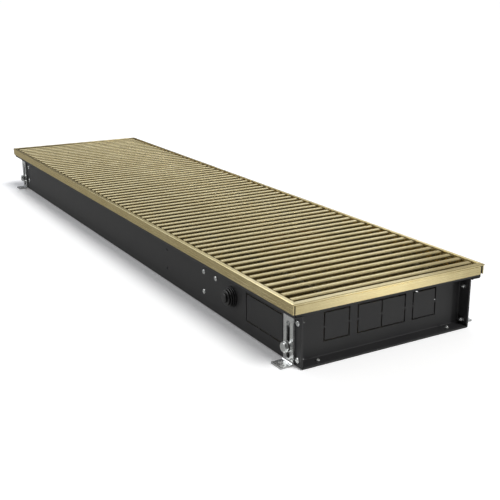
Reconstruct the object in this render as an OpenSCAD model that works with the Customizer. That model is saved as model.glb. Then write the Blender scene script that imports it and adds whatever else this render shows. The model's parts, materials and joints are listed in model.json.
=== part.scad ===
// Trench convector heater: a floor trench with a decorative frame, a roll-up grille,
// a finned heat exchanger and four height-adjusting feet.
// X runs across the trench, Y along it, Z up. The origin is on the floor under the middle.
// "Near" is the connection end, at -Y. "Left" is the side with the cable grommet, at -X.

/* [Overall] */
// Width over the visible frame
frame_w = 251; // [200:1:420]
// Length over the visible frame
frame_l = 996; // [700:1:3000]
// Height from the floor to the top of the frame
total_h = 74; // [64:1:200]

/* [Trough] */
// Thickness of the folded steel sheet
sheet_t = 1; // [0.8:0.1:1.5]
// Inner radius of every fold in the sheet
fold_r = 1; // [0.6:0.1:1.4]
// From the frame's outer side face to the trough wall
side_inset = 13.5; // [12:0.5:20]
// From the frame's outer end face to the end of the trough walls
end_inset = 5; // [4:0.5:10]
// Depth of the grille's seat below the top of the frame
seat_depth = 15.4; // [13:0.1:22]
// From the frame's outer face to the upright rim of the trough
rim_inset = 2.4; // [2.2:0.1:3.2]
// From the end of the walls to the recessed end panel
panel_recess = 15; // [12:0.5:25]

/* [Knock-outs] */
// Width of the slots that mark a knock-out
cut_w = 1.7; // [0.8:0.1:2]
// Length of the bridge that still holds a knock-out
bridge_l = 2.2; // [1.5:0.1:4]
// Width of one knock-out in the end panel
end_tab_w = 31.6; // [20:0.2:34]
// Gap between the middle pair and the outer knock-outs
end_tab_gap = 11.2; // [6:0.2:16]
// Height of the lower edge of the end knock-outs
end_tab_z = 18.2; // [12:0.2:24]
// Distance from the frame's end to the knock-out in the side wall
side_tab_y = 39.5; // [38:0.5:50]
// Length of the knock-out in the side wall
side_tab_l = 74.8; // [50:0.2:84]
// Height of the lower edge of the side knock-out
side_tab_z = 16; // [12:0.2:24]
// From the seat ledge down to the top edge of the knock-outs
tab_top_gap = 8; // [6:0.2:12]

/* [Frame profiles] */
// Height of the outer face
face_h = 11.5; // [9:0.5:13]
// Thickness of the top rim
rim_t = 1.6; // [1.2:0.1:2.4]
// Width of the top rim on the long sides
side_rim_w = 4.8; // [4.6:0.1:7]
// Width of the top rim on the short ends
end_rim_w = 6.4; // [5.6:0.1:9]
// Thickness of the outer and inner legs
leg_t = 1.3; // [0.8:0.1:1.4]
// How far the rim stands proud of the outer leg
rim_lip = 0.3; // [0.2:0.1:0.6]
// Where the end profile's outer leg starts, at its left corner
leg_cut_a = 2.7; // [2:0.1:6]
// Where the end profile's outer leg stops short of its right corner
leg_cut_b = 4.9; // [2:0.1:8]

/* [Roll-up grille] */
// Nominal pitch of the slats
slat_pitch = 16; // [14:0.5:24]
// Width of a slat's crowned cap
slat_w = 7.6; // [5:0.2:9]
// Height of a slat
slat_h = 13.5; // [11:0.1:14]
// Radius of the crown on top of a slat
crown_r = 9; // [6:0.5:30]
// Thickness of a slat's web
web_t = 2.2; // [1.6:0.1:3]
// How far the slats sit below the frame's top
slat_drop = 0.5; // [0.2:0.1:1]
// Gap between a slat's end and the frame
slat_end_gap = 2.4; // [1.5:0.1:4]
// Gap between the end rim and the first slat
first_gap = 7; // [4:0.2:9]
// Number of slats that are hinged one by one
roll_n = 6; // [2:1:6]
// Diameter of the closed-coil spring that threads the slats
spring_d = 4; // [3:0.1:4.4]
// Outer diameter of the sleeves on the spring
sleeve_d = 6; // [5.2:0.1:6.4]
// Play between a sleeve and the next web, which lets the grille roll
roll_play = 1.4; // [1.4:0.1:2]
// From a slat's end to the spring
spring_inset = 46; // [30:1:60]

/* [Heat exchanger] */
// Outer diameter of the copper tube
tube_d = 15; // [12:0.5:16]
// Wall of the copper tube
tube_wall = 1; // [0.7:0.1:1.2]
// Spacing of the tubes across the trench
tube_pitch = 53; // [44:1:60]
// Width of the fins
fin_w = 106; // [90:1:110]
// Spacing of the fins
fin_pitch = 6; // [4:0.5:12]
// Thickness of a fin
fin_t = 0.4; // [0.3:0.1:0.6]
// From the floor sheet to the fins
fin_floor_gap = 6; // [4:0.5:10]
// From the fins up to the seat ledge
fin_top_gap = 4.6; // [3:0.2:8]
// From the right wall to the fins
fin_side_gap = 12.5; // [10:0.5:20]
// Distance from the near end to the near bracket's rivets
bracket_near = 216; // [200:1:240]
// Distance from the far end to the far bracket's rivets
bracket_far = 49; // [46:1:60]
// Thickness of the galvanised brackets
bracket_t = 1.2; // [1:0.1:2]
// Distance from the near end to the mouths of the unions
union_y = 148; // [130:1:155]
// Size across the flats of a union
union_af = 26; // [24:0.5:28]
// Diameter of the union's threaded mouth
union_bore = 19; // [18:0.1:20]
// Depth of the union's threaded mouth
union_depth = 13; // [10:0.5:15]

/* [Feet] */
// Width of a foot bracket
foot_w = 18; // [16:0.5:24]
// Thickness of a foot bracket
foot_t = 2; // [1.5:0.1:3]
// Distance from the frame's end to the middle of a foot
foot_y = 25.7; // [25.7:0.1:26.5]
// Reach of the foot plate out from the wall
foot_reach = 17.2; // [16.6:0.1:22]
// Inner radius of the bracket's bend
foot_bend = 3; // [2:0.5:3]
// From the seat ledge down to the top of the bracket
foot_top_gap = 5.6; // [4:0.2:8]
// Web left over the slot
slot_web = 5.2; // [4:0.2:8]
// Height of the slot's lower end
slot_z = 6; // [5.8:0.1:7.4]
// Width of the slot
slot_w = 6.3; // [6.2:0.1:7]
// Height of the clamp bolt
bolt_z = 19.2; // [16:0.2:22]
// Diameter of the anchor holes in the foot plate
anchor_d = 5.5; // [4:0.1:6]
// From the wall to the outer anchor hole
anchor_out = 13; // [12.6:0.1:13.4]
// From the wall to the inner anchor hole
anchor_in = 9.4; // [9.2:0.1:10]

/* [Cable entry] */
// Distance from the near end to the grommet
grommet_y = 147; // [136:1:160]
// Height of the grommet
grommet_z = 33.5; // [28:0.5:34]
// Diameter of the grommet's flange
grommet_d = 23.5; // [18:0.5:24]
// Thickness of the grommet's flange
grommet_base = 3; // [2:0.1:4]
// Number of steps on the grommet's dome
grommet_steps = 5; // [3:1:6]
// Height of one step
grommet_rise = 1.6; // [1.2:0.1:2.4]

/* [Fits] */
// Play between pieces that are pushed together
fit = 0.1; // [0.05:0.01:0.12]
// Head diameter of the blind rivets
rivet_head = 6.4; // [5:0.1:7]
// Shank diameter of the blind rivets
rivet_d = 3.2; // [2.4:0.1:4]
// From the frame's end to the rivets of the end panel
rivet_y = 12.2; // [11:0.1:13.5]
// Height of the lower rivets of the end panel
rivet_low = 7.9; // [7:0.1:12]
// From the seat ledge down to the upper rivets of the end panel
rivet_drop = 9.8; // [8:0.1:12]

/* [Hidden] */
$fn = 48;

eps = 0.01;
black = "#2b2b2c";
gold = "#cdbd88";
zinc = "#b9babb";
copper = "#b8734a";
brass = "#b79a58";

// Half sizes of the frame, and the faces of the trough
fx = frame_w / 2;
fy = frame_l / 2;
wall_x = fx - side_inset;
inner_x = wall_x - sheet_t;
wall_l = frame_l - 2 * end_inset;
seat_z = total_h - seat_depth;
ledge_z = seat_z - sheet_t;
rim_top = total_h - rim_t - fit;
rim_mid_x = fx - rim_inset - sheet_t / 2;
rim_l = frame_l - 2 * rim_inset;
mid_r = fold_r + sheet_t / 2;

// End panel, measured inwards from the frame's end face
panel_v = end_inset + panel_recess;
panel_w = 2 * (inner_x - fit / 2);
flange_z = sheet_t + fit / 2;
corner_cut = fold_r + sheet_t + fit;
end_ledge_w = 2 * (fx - rim_inset - sheet_t - fold_r - fit);
end_rivet_x = wall_x - 25;

// Frame profile, measured inwards from the outer face
slot_bottom = total_h - face_h;
leg_in = rim_lip + leg_t;
inner_leg_z = seat_z + sheet_t + 0.4;
mitre = end_rim_w / side_rim_w;

// Grille
slat_top = total_h - slat_drop;
slat_z0 = slat_top - slat_h;
slat_l = frame_w - 2 * (side_rim_w + slat_end_gap);
slat_run = frame_l - 2 * (end_rim_w + first_gap) - slat_w;
slat_n = round(slat_run / slat_pitch) + 1;
slat_step = slat_run / (slat_n - 1);
cap_h = 2.6;
foot_bead_h = 1.4;
foot_bead_w = 5;
spring_x = slat_l / 2 - spring_inset;
spring_z = slat_top - 7.1;
sleeve_l = slat_step - web_t - roll_play - fit;
strip_w = 5;

// Heat exchanger
fin_z0 = sheet_t + fin_floor_gap;
fin_h = ledge_z - fin_top_gap - fin_z0;
core_z = fin_z0 + fin_h / 2;
row_z = fin_h / 4;
core_x = inner_x - fin_side_gap - fin_w / 2;
tube_r = tube_d / 2;
tab_l = 16;
near_plate = -fy + bracket_near + tab_l / 2;
far_plate = fy - bracket_far - tab_l / 2;
near_bend = near_plate - tab_l / 2 - 2;
far_bend = far_plate + tab_l / 2 + 3;
fin_start = near_plate + 4;
fin_end = far_plate - 4;
fin_n = floor((fin_end - fin_start) / fin_pitch) + 1;
bush_d = tube_d + 3;
vent_y = near_bend - tube_pitch / 2 - tube_r;
baffle_x = core_x - fin_w / 2 - 5;
bracket_z = [18.5, ledge_z - 14.1];

// Feet
stand_off = 0.6;
leg_h = ledge_z - foot_top_gap;
slot_top = leg_h - slot_web;
insert_z = slot_top - 4.3;
anchor_side = [-foot_w / 2 + 4.1, foot_w / 2 - 6.2];
bolt_d = 6;
insert_d = 8.4;
lock_d = 5.2;
bolt_reach = 13;
washer_od = 12.5;
washer_t = 1.2;
spring_od = 10.4;
spring_t = 1.4;
head_h = 4;
head_af = 10;
foot_tip = wall_x + foot_reach;

// Terminal carrier
carrier_y = -fy + 186;

// Blind rivets
rivet_head_h = 1.4;
rivet_crown_r = 4.6;
rivet_end_d = rivet_d + 1.2;
rivet_end_l = 2;
nail_d = rivet_d - 1;
nail_l = 0.7;
nail_hole_d = 1.8;

// A folded sheet in two dimensions: p is the middle line, with square corners
function unit(a, b) = (b - a) / norm(b - a);
module folded(p, t, r) {
    n = len(p);
    m = r + t / 2;
    for (i = [0:n - 2]) {
        d = unit(p[i], p[i + 1]);
        a = i == 0 ? p[0] : p[i] + d * m;
        b = i == n - 2 ? p[n - 1] : p[i + 1] - d * m;
        w = [abs(b[0] - a[0]) + abs(d[1]) * t, abs(b[1] - a[1]) + abs(d[0]) * t];
        translate((a + b) / 2)
            square(w, center = true);
    }
    for (i = [1:n - 2]) {
        d = unit(p[i - 1], p[i]);
        e = unit(p[i], p[i + 1]);
        c = p[i] - d * m + e * m;
        s = d - e;
        intersection() {
            translate(c)
                difference() {
                    circle(r = m + t / 2);
                    circle(r = m - t / 2);
                }
            translate([s[0] > 0 ? c[0] : c[0] - m - t, s[1] > 0 ? c[1] : c[1] - m - t])
                square(m + t);
        }
    }
}

// Extrusions: a section drawn as (x, z) along Y, or as (v, z) along X
module along_y(y0, y1) {
    translate([0, y1, 0])
        rotate([90, 0, 0])
            linear_extrude(y1 - y0)
                children();
}
module along_x(x0, x1) {
    translate([x0, 0, 0])
        rotate([90, 0, 90])
            linear_extrude(x1 - x0)
                children();
}

// The same piece at the other side or the other end
module at_far() {
    rotate([0, 0, 180])
        children();
}
module both_sides() {
    children();
    mirror([1, 0, 0])
        children();
}
module both_ends() {
    children();
    mirror([0, 1, 0])
        children();
}

// Rods and holes along X and Y
module rod_x(x0, x1, d) {
    translate([x0, 0, 0])
        rotate([0, 90, 0])
            cylinder(d = d, h = x1 - x0);
}
module rod_y(y0, y1, d) {
    translate([0, y0, 0])
        rotate([-90, 0, 0])
            cylinder(d = d, h = y1 - y0);
}

// A blind rivet along +Z: its head is below, and it grips a stack of the given thickness
module blind_rivet(grip) {
    translate([0, 0, -fit / 2])
        rotate_extrude()
            difference() {
                union() {
                    intersection() {
                        translate([0, rivet_crown_r - rivet_head_h])
                            circle(r = rivet_crown_r);
                        translate([0, -rivet_head_h])
                            square([rivet_head / 2, rivet_head_h]);
                    }
                    square([rivet_d / 2 - fit / 2, grip + fit]);
                    translate([0, grip + fit])
                        square([rivet_end_d / 2, rivet_end_l]);
                    translate([0, grip + fit + rivet_end_l])
                        square([nail_d / 2, nail_l]);
                }
                translate([0, -rivet_head_h - 1])
                    square([nail_hole_d / 2, 2]);
            }
}

// Outline of a knock-out: four slots, with two bridges, beside it or under it
module tab_outline(w, h, upright) {
    difference() {
        square([w + cut_w, h + cut_w], center = true);
        square([w - cut_w, h - cut_w], center = true);
        if (upright)
            square([w + 4, bridge_l], center = true);
        else
            for (side = [-1, 1])
                translate([side * w * 0.14, -h / 2])
                    square([bridge_l, 4], center = true);
    }
}

// Casing
module trough_section() {
    z_top = rim_top;
    folded([[-rim_mid_x, z_top], [-rim_mid_x, seat_z - sheet_t / 2],
        [-(wall_x - sheet_t / 2), seat_z - sheet_t / 2], [-(wall_x - sheet_t / 2), sheet_t / 2],
        [wall_x - sheet_t / 2, sheet_t / 2], [wall_x - sheet_t / 2, seat_z - sheet_t / 2],
        [rim_mid_x, seat_z - sheet_t / 2], [rim_mid_x, z_top]], sheet_t, fold_r);
}
module trough() {
    tab_h = ledge_z - tab_top_gap - 2 - side_tab_z;
    color(black)
        difference() {
            along_y(-rim_l / 2, rim_l / 2)
                trough_section();
            // The walls and the floor stop short of the ledge's ends
            both_ends()
                translate([-wall_x - eps, -rim_l / 2 - 1, -1])
                    cube([2 * wall_x + 2 * eps, (rim_l - wall_l) / 2 + 1, ledge_z + 1]);
            both_sides() {
                // Holes for the end panels, the brackets and the feet
                both_ends()
                    translate([-wall_x, -fy, 0]) {
                        for (z = [rivet_low, ledge_z - rivet_drop])
                            translate([0, rivet_y, z])
                                rod_x(-1, sheet_t + 1, rivet_d);
                        translate([0, foot_y, bolt_z])
                            rod_x(-1, sheet_t + 1, insert_d + fit);
                        translate([0, foot_y, insert_z])
                            rod_x(-1, sheet_t + 1, lock_d + fit);
                    }
                for (y = [-fy + bracket_near, -fy + bracket_near + 104, fy - bracket_far], z = bracket_z)
                    translate([-wall_x, y, z])
                        rod_x(-1, sheet_t + 1, rivet_d);
                // Knock-out for pipes from the side
                translate([-wall_x + sheet_t / 2, -fy + side_tab_y + side_tab_l / 2,
                    side_tab_z + tab_h / 2])
                    rotate([90, 0, 90])
                        linear_extrude(sheet_t + 1, center = true)
                            tab_outline(side_tab_l, tab_h, false);
            }
            both_ends()
                for (s = [-1, 1])
                    translate([s * end_rivet_x, -fy + rivet_y, -1])
                        cylinder(d = rivet_d, h = sheet_t + 2);
            translate([-wall_x, carrier_y, bracket_z[1]])
                rod_x(-1, sheet_t + 1, rivet_d);
            translate([-wall_x, -fy + grommet_y, grommet_z])
                rod_x(-1, sheet_t + 1, grommet_d - 5 + fit);
        }
}

module end_panel() {
    tab_h = ledge_z - tab_top_gap - end_tab_z;
    zc = end_tab_z + tab_h / 2;
    color(black)
        difference() {
            translate([0, -fy, 0])
                union() {
                    // Rim, ledge, panel and bottom flange, folded from one sheet
                    difference() {
                        along_x(-end_ledge_w / 2, end_ledge_w / 2)
                            folded([[rim_inset + sheet_t / 2, rim_top],
                                [rim_inset + sheet_t / 2, seat_z + sheet_t / 2],
                                [panel_v + sheet_t / 2, seat_z + sheet_t / 2],
                                [panel_v + sheet_t / 2, flange_z + sheet_t / 2],
                                [end_inset, flange_z + sheet_t / 2]], sheet_t, fold_r);
                        both_sides()
                            translate([panel_w / 2 - corner_cut, -1, -1])
                                cube([fx, panel_v + 5, seat_z + 1]);
                    }
                    // Side flanges
                    translate([0, 0, corner_cut])
                        linear_extrude(ledge_z - fit - corner_cut)
                            folded([[-(panel_w - sheet_t) / 2, end_inset],
                                [-(panel_w - sheet_t) / 2, panel_v + sheet_t / 2],
                                [(panel_w - sheet_t) / 2, panel_v + sheet_t / 2],
                                [(panel_w - sheet_t) / 2, end_inset]], sheet_t, fold_r);
                }
            translate([0, -fy + panel_v + sheet_t / 2, zc])
                rotate([90, 0, 0])
                    linear_extrude(sheet_t + 1, center = true)
                        for (x = [-1.5, -0.5, 0.5, 1.5])
                            translate([x * end_tab_w + (abs(x) > 1 ? sign(x) * end_tab_gap : 0), 0])
                                tab_outline(end_tab_w, tab_h, true);
            both_sides()
                translate([-wall_x, -fy + rivet_y, 0])
                    for (z = [rivet_low, ledge_z - rivet_drop])
                        translate([0, 0, z])
                            rod_x(0, 3 * sheet_t, rivet_d);
            for (s = [-1, 1])
                translate([s * end_rivet_x, -fy + rivet_y, 0])
                    cylinder(d = rivet_d, h = 4 * sheet_t);
        }
}

module end_panel_rivets() {
    color(zinc)
        both_ends() {
            both_sides()
                translate([-wall_x, -fy + rivet_y, 0])
                    for (z = [rivet_low, ledge_z - rivet_drop])
                        translate([0, 0, z])
                            rotate([0, 90, 0])
                                blind_rivet(2 * sheet_t + fit / 2);
            // The floor's rivets have flat heads let into the sheet
            for (s = [-1, 1])
                translate([s * end_rivet_x, -fy + rivet_y, 0]) {
                    cylinder(d = rivet_d - fit, h = 2 * sheet_t + 3 * fit);
                    translate([0, 0, 2 * sheet_t + 2 * fit])
                        cylinder(d = rivet_end_d, h = rivet_end_l);
                    translate([0, 0, 2 * sheet_t + 2 * fit + rivet_end_l])
                        cylinder(d = nail_d, h = nail_l);
                }
        }
}

module bracket_rivets() {
    color(zinc) {
        both_sides()
            for (y = [-fy + bracket_near, fy - bracket_far], z = bracket_z)
                translate([-wall_x, y, z])
                    rotate([0, 90, 0])
                        blind_rivet(sheet_t + bracket_t + fit / 2);
        translate([-wall_x, carrier_y, bracket_z[1]])
            rotate([0, 90, 0])
                blind_rivet(sheet_t + bracket_t + fit / 2);
    }
}

// Decorative frame: rim, outer leg and inner leg, with u measured inwards
module profile_rim(w) {
    translate([0, total_h - rim_t])
        difference() {
            square([w, rim_t]);
            translate([0, rim_t])
                rotate(45)
                    square(0.7, center = true);
        }
}
module profile_inner(w) {
    translate([w - leg_t, inner_leg_z])
        square([leg_t, total_h - rim_t - inner_leg_z + eps]);
}
module profile_outer(groove) {
    difference() {
        translate([rim_lip, slot_bottom])
            square([leg_t, face_h - rim_t + eps]);
        if (groove)
            translate([rim_lip - eps, total_h - rim_t - 1])
                square([0.5, 1]);
    }
}
module frame_side() {
    color(gold)
        union() {
            difference() {
                translate([-fx, 0, 0])
                    along_y(-fy, fy) {
                        profile_rim(side_rim_w);
                        profile_inner(side_rim_w);
                    }
                both_ends()
                    translate([-fx, -fy - fit / 2, 0])
                        linear_extrude(total_h + 1)
                            polygon([[-1, -1 * mitre + fit],
                                [side_rim_w + 1, (side_rim_w + 1) * mitre + fit],
                                [side_rim_w + 1, -2], [-1, -2]]);
            }
            translate([-fx, 0, 0])
                along_y(-fy + rim_lip + 0.6, fy - rim_lip - 0.6)
                    profile_outer(false);
        }
}
module frame_end() {
    color(gold)
        union() {
            difference() {
                translate([0, -fy, 0])
                    along_x(-fx, fx) {
                        profile_rim(end_rim_w);
                        profile_inner(end_rim_w);
                    }
                both_sides()
                    translate([-fx - fit / 2, -fy, 0])
                        linear_extrude(total_h + 1)
                            polygon([[-2, -1], [fit - 1 / mitre, -1],
                                [(end_rim_w + 1) / mitre + fit, end_rim_w + 1], [-2, end_rim_w + 1]]);
            }
            translate([0, -fy, 0])
                along_x(-fx + leg_cut_a, fx - leg_cut_b)
                    profile_outer(true);
        }
}

// Spring-steel angles that hold the mitred corners, between the legs and the trough's rims
module corner_keys() {
    key_t = rim_inset - leg_in - 2 * fit;
    a = leg_in + fit;
    color("#33322e")
        both_ends()
            both_sides()
                translate([-fx + a, -fy + a, slot_bottom + 1])
                    difference() {
                        cube([22, 22, face_h - rim_t - 2]);
                        translate([key_t, key_t, -1])
                            cube([22, 22, face_h]);
                    }
}

module seat_strips() {
    x0 = fx - side_rim_w - slat_end_gap;
    color("#1c1c1c")
        both_sides()
            translate([-x0, -fy + panel_v + sheet_t + 1, seat_z])
                cube([strip_w, frame_l - 2 * (panel_v + sheet_t + 1), slat_z0 - seat_z - fit]);
}

// Foot bracket at the near left corner
module foot() {
    color(zinc)
        difference() {
            translate([0, -fy + foot_y + foot_w / 2, 0])
                rotate([90, 0, 0])
                    linear_extrude(foot_w)
                        folded([[-foot_tip, foot_t / 2], [-wall_x - stand_off - foot_t / 2, foot_t / 2],
                            [-wall_x - stand_off - foot_t / 2, leg_h]], foot_t, foot_bend);
            translate([-wall_x - 6, -fy + foot_y, 0])
                rotate([90, 0, 90])
                    linear_extrude(8) {
                        translate([0, slot_top - slot_w / 2])
                            circle(d = slot_w);
                        translate([0, slot_z + slot_w / 2])
                            circle(d = slot_w);
                        translate([-slot_w / 2, slot_z + slot_w / 2])
                            square([slot_w, slot_top - slot_z - slot_w]);
                    }
            translate([-wall_x - anchor_out, -fy + foot_y + anchor_side[0], -1])
                cylinder(d = anchor_d, h = foot_t + 2);
            translate([-wall_x - anchor_in, -fy + foot_y + anchor_side[1], -1])
                cylinder(d = anchor_d, h = foot_t + 2);
        }
}

// Hexagon bolts, flat washers and split spring washers that clamp the feet
module at_bolts() {
    both_ends()
        both_sides()
            translate([-wall_x - stand_off - foot_t - fit, -fy + foot_y, bolt_z])
                rotate([0, -90, 0])
                    children();
}
module foot_bolts() {
    grip = stand_off + foot_t + fit;
    color("#c9c9c6")
        at_bolts() {
            translate([0, 0, -grip - bolt_reach])
                cylinder(d = bolt_d, h = grip + bolt_reach + washer_t + spring_t + eps);
            translate([0, 0, washer_t + spring_t])
                intersection() {
                    rotate([0, 0, 30])
                        cylinder(d = head_af / cos(30), h = head_h, $fn = 6);
                    cylinder(d1 = head_af + 3 * head_h, d2 = head_af - 0.4, h = head_h);
                }
        }
}
module foot_washers() {
    color(zinc)
        at_bolts()
            difference() {
                cylinder(d = washer_od, h = washer_t);
                translate([0, 0, -1])
                    cylinder(d = bolt_d + 0.4, h = washer_t + 2);
            }
}
module spring_washers() {
    color("#5c5c5a")
        at_bolts()
            translate([0, 0, washer_t])
                difference() {
                    cylinder(d = spring_od, h = spring_t);
                    translate([0, 0, -1])
                        cylinder(d = bolt_d + 0.2, h = spring_t + 2);
                    rotate([14, 0, 50])
                        translate([0, -0.35, -2])
                            cube([8, 0.7, spring_t + 4]);
                }
}

// Threaded inserts in the wall: one for each bolt, and a small one above it for a locking screw
module wall_insert(z, flange_d, body_d, bore_d) {
    translate([-wall_x, -fy + foot_y, z])
        difference() {
            union() {
                rod_x(-stand_off + fit, 0, flange_d);
                rod_x(-eps, 11, body_d);
            }
            rod_x(-1, 12, bore_d);
        }
}
module wall_inserts() {
    color(zinc)
        both_ends()
            both_sides() {
                wall_insert(bolt_z, 9.6, insert_d, bolt_d + fit);
                wall_insert(insert_z, 6.4, lock_d, 3.3);
            }
}

// Stepped rubber grommet: a hollow dome, closed at the tip, in its hole in the left wall
module cable_grommet() {
    r1 = grommet_d / 2;
    tip = grommet_base + grommet_steps * grommet_rise;
    color("#151515")
        translate([-wall_x, -fy + grommet_y, grommet_z])
            rotate([0, -90, 0])
                rotate_extrude()
                    difference() {
                        union() {
                            translate([0, -sheet_t - 2.2])
                                square([r1 - 1.2, 2.2]);
                            translate([0, -sheet_t - eps])
                                square([r1 - 2.5, sheet_t + 2 * eps]);
                            square([r1, grommet_base]);
                            for (i = [1:grommet_steps])
                                square([r1 * sqrt(1 - i / (grommet_steps + 1)),
                                    grommet_base + i * grommet_rise]);
                        }
                        translate([0, -sheet_t - 3])
                            polygon([[0, 0], [r1 - 4.5, 0],
                                [2, sheet_t + 1 + tip], [0, sheet_t + 1 + tip]]);
                    }
}

// Terminal carrier on the left wall, for the supply of a valve actuator
module terminal_bracket() {
    color("#9fa2a4")
        difference() {
            translate([0, carrier_y - 10, 0])
                rotate([90, 0, 0])
                    mirror([0, 0, 1])
                        linear_extrude(20)
                            folded([[-inner_x + bracket_t / 2, bracket_z[1] + 8],
                                [-inner_x + bracket_t / 2, bracket_z[1] - 8],
                                [-inner_x + 26, bracket_z[1] - 8]], bracket_t, 1);
            translate([-inner_x, carrier_y, bracket_z[1]])
                rod_x(-1, bracket_t + 1, rivet_d);
        }
}
module terminal_block() {
    z0 = bracket_z[1] - 8 + bracket_t / 2;
    color("#d9d7cf")
        difference() {
            translate([-inner_x + 11, carrier_y - 9, z0])
                cube([14, 18, 11]);
            for (i = [-1:1])
                translate([-inner_x + 18, carrier_y + i * 5.6, z0]) {
                    translate([0, 0, 5])
                        cylinder(d = 3.6, h = 7);
                    translate([0, 0, 3])
                        rod_x(-8, 8, 2.6);
                }
        }
}
module terminal_screws() {
    z0 = bracket_z[1] - 8 + bracket_t / 2;
    color(zinc)
        for (i = [-1:1])
            translate([-inner_x + 18, carrier_y + i * 5.6, z0 + 5.05])
                difference() {
                    cylinder(d = 3.4, h = 3.6);
                    translate([-3, -0.3, 2.8])
                        cube([6, 0.6, 1]);
                }
}

// Heat exchanger
module at_tubes() {
    for (x = [-1, 1], z = [-1, 1])
        translate([core_x + x * tube_pitch / 2, 0, core_z + z * row_z])
            children();
}
module exchanger_tubes() {
    color(copper)
        for (x = [-1, 1], z = [-1, 1]) {
            y0 = z < 0 ? -fy + union_y + union_depth + 4 : near_bend;
            translate([core_x + x * tube_pitch / 2, 0, core_z + z * row_z])
                difference() {
                    rod_y(y0, far_bend, tube_d);
                    rod_y(y0 - 1, far_bend + 1, tube_d - 2 * tube_wall);
                }
        }
}
module half_bend(r) {
    rotate_extrude(angle = 180)
        translate([r, 0])
            difference() {
                circle(r = tube_r);
                circle(r = tube_r - tube_wall);
            }
}
module return_bends() {
    color(copper) {
        for (x = [-1, 1])
            translate([core_x + x * tube_pitch / 2, far_bend, core_z])
                rotate([0, 90, 0])
                    half_bend(row_z);
        difference() {
            translate([core_x, near_bend, core_z + row_z])
                rotate([0, 0, 180])
                    half_bend(tube_pitch / 2);
            translate([core_x, 0, core_z + row_z])
                rod_y(vent_y - 1, vent_y + 3, 6.2);
        }
    }
}
module exchanger_fins() {
    color("#c3c7ca")
        for (i = [0:fin_n - 1])
            translate([core_x, fin_start + i * fin_pitch, core_z])
                rotate([90, 0, 0])
                    linear_extrude(fin_t, center = true)
                        difference() {
                            square([fin_w, fin_h], center = true);
                            for (x = [-1, 1], z = [-1, 1])
                                translate([x * tube_pitch / 2, z * row_z])
                                    circle(d = tube_d + fit, $fn = 36);
                        }
}
module tube_bushes() {
    color("#7a2f26")
        for (y = [near_plate, far_plate])
            at_tubes()
                translate([0, y, 0])
                    rotate([-90, 0, 0])
                        rotate_extrude()
                            difference() {
                                translate([tube_r + fit / 2, -bracket_t / 2 - 1])
                                    square([2.6, bracket_t + 2]);
                                translate([bush_d / 2 - fit, -bracket_t / 2 - fit / 2])
                                    square([4, bracket_t + fit]);
                            }
}
module bracket(y) {
    tab = (y < 0 ? -1 : 1) * tab_l;
    z0 = sheet_t + fit;
    z1 = ledge_z - 2;
    clip = fold_r + 0.4;
    x1 = inner_x - bracket_t / 2 - fit / 2;
    color("#9fa2a4")
        difference() {
            translate([0, y, z0 + clip])
                linear_extrude(z1 - z0 - clip)
                    folded([[-x1, tab], [-x1, 0], [x1, 0], [x1, tab]], bracket_t, fold_r);
            at_tubes()
                rod_y(y - 3, y + 3, bush_d);
            both_sides()
                for (z = bracket_z)
                    translate([-inner_x, y + tab / 2, z])
                        rod_x(-1, 3, rivet_d);
            // Window beside the exchanger, for the cable and a pipe that passes through
            translate([baffle_x - 60, y, core_z])
                rotate([90, 0, 0])
                    linear_extrude(4, center = true) {
                        square([50, fin_h - 22], center = true);
                        for (s = [-1, 1])
                            translate([s * 25, 0])
                                circle(d = fin_h - 22);
                    }
        }
}
module union_fitting(x) {
    zc = core_z - row_z;
    y0 = -fy + union_y;
    color(brass)
        translate([core_x + x * tube_pitch / 2, y0, zc])
            difference() {
                union() {
                    rotate([-90, 0, 0])
                        rotate([0, 0, 30])
                            cylinder(d = union_af / cos(30), h = union_depth + 1, $fn = 6);
                    rod_y(union_depth, union_depth + 12, tube_d + 4);
                }
                rod_y(-1, union_depth, union_bore);
                rod_y(union_depth - 1, union_depth + 5, tube_d - 2 * tube_wall);
                rod_y(union_depth + 4 - fit, union_depth + 13, tube_d + fit);
            }
}
module air_vent_body() {
    color(brass)
        translate([core_x, vent_y, core_z + row_z])
            difference() {
                union() {
                    rod_y(-0.3, 2.6, 6);
                    rod_y(-3.3, -0.3, 11);
                    rotate([90, 0, 0])
                        translate([0, 0, 3.2])
                            cylinder(d = 11.5, h = 6, $fn = 6);
                }
                rod_y(-10, -2.6, 5.1);
                rod_y(-3, 3, 2.4);
            }
}
module air_vent_screw() {
    color("#c9b06a")
        translate([core_x, vent_y, core_z + row_z])
            difference() {
                union() {
                    rod_y(-11.6, -3, 5);
                    rod_y(-12.6, -9.4, 8);
                }
                translate([-5, -13, -0.5])
                    cube([10, 1.8, 1]);
            }
}

// Guide plate between the cold shaft and the exchanger, with a gap below for the air
module air_baffle() {
    color(black)
        translate([baffle_x, 0, 0])
            along_y(near_plate + bracket_t, far_plate - bracket_t)
                folded([[0, sheet_t + 10], [0, ledge_z - 3], [-6, ledge_z - 3]], 0.8, 0.8);
}

// Grille
module slat_section() {
    intersection() {
        translate([0, slat_top - crown_r])
            circle(r = crown_r, $fn = 96);
        translate([-slat_w / 2, slat_top - cap_h])
            square([slat_w, cap_h + 1]);
    }
    translate([-web_t / 2, slat_z0])
        square([web_t, slat_h - cap_h + 0.5]);
    translate([-foot_bead_w / 2, slat_z0])
        square([foot_bead_w, foot_bead_h]);
}
function slat_y(i) = -slat_run / 2 + i * slat_step;
module slat(i) {
    color(gold)
        translate([0, slat_y(i), 0])
            difference() {
                along_x(-slat_l / 2, slat_l / 2)
                    slat_section();
                for (s = [-1, 1])
                    translate([s * spring_x, 0, spring_z])
                        rod_y(-web_t, web_t, spring_d + 4 * fit);
            }
}
module spring_run(y0, y1) {
    for (s = [-1, 1])
        translate([s * spring_x, 0, spring_z])
            rod_y(y0, y1, spring_d);
}
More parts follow.
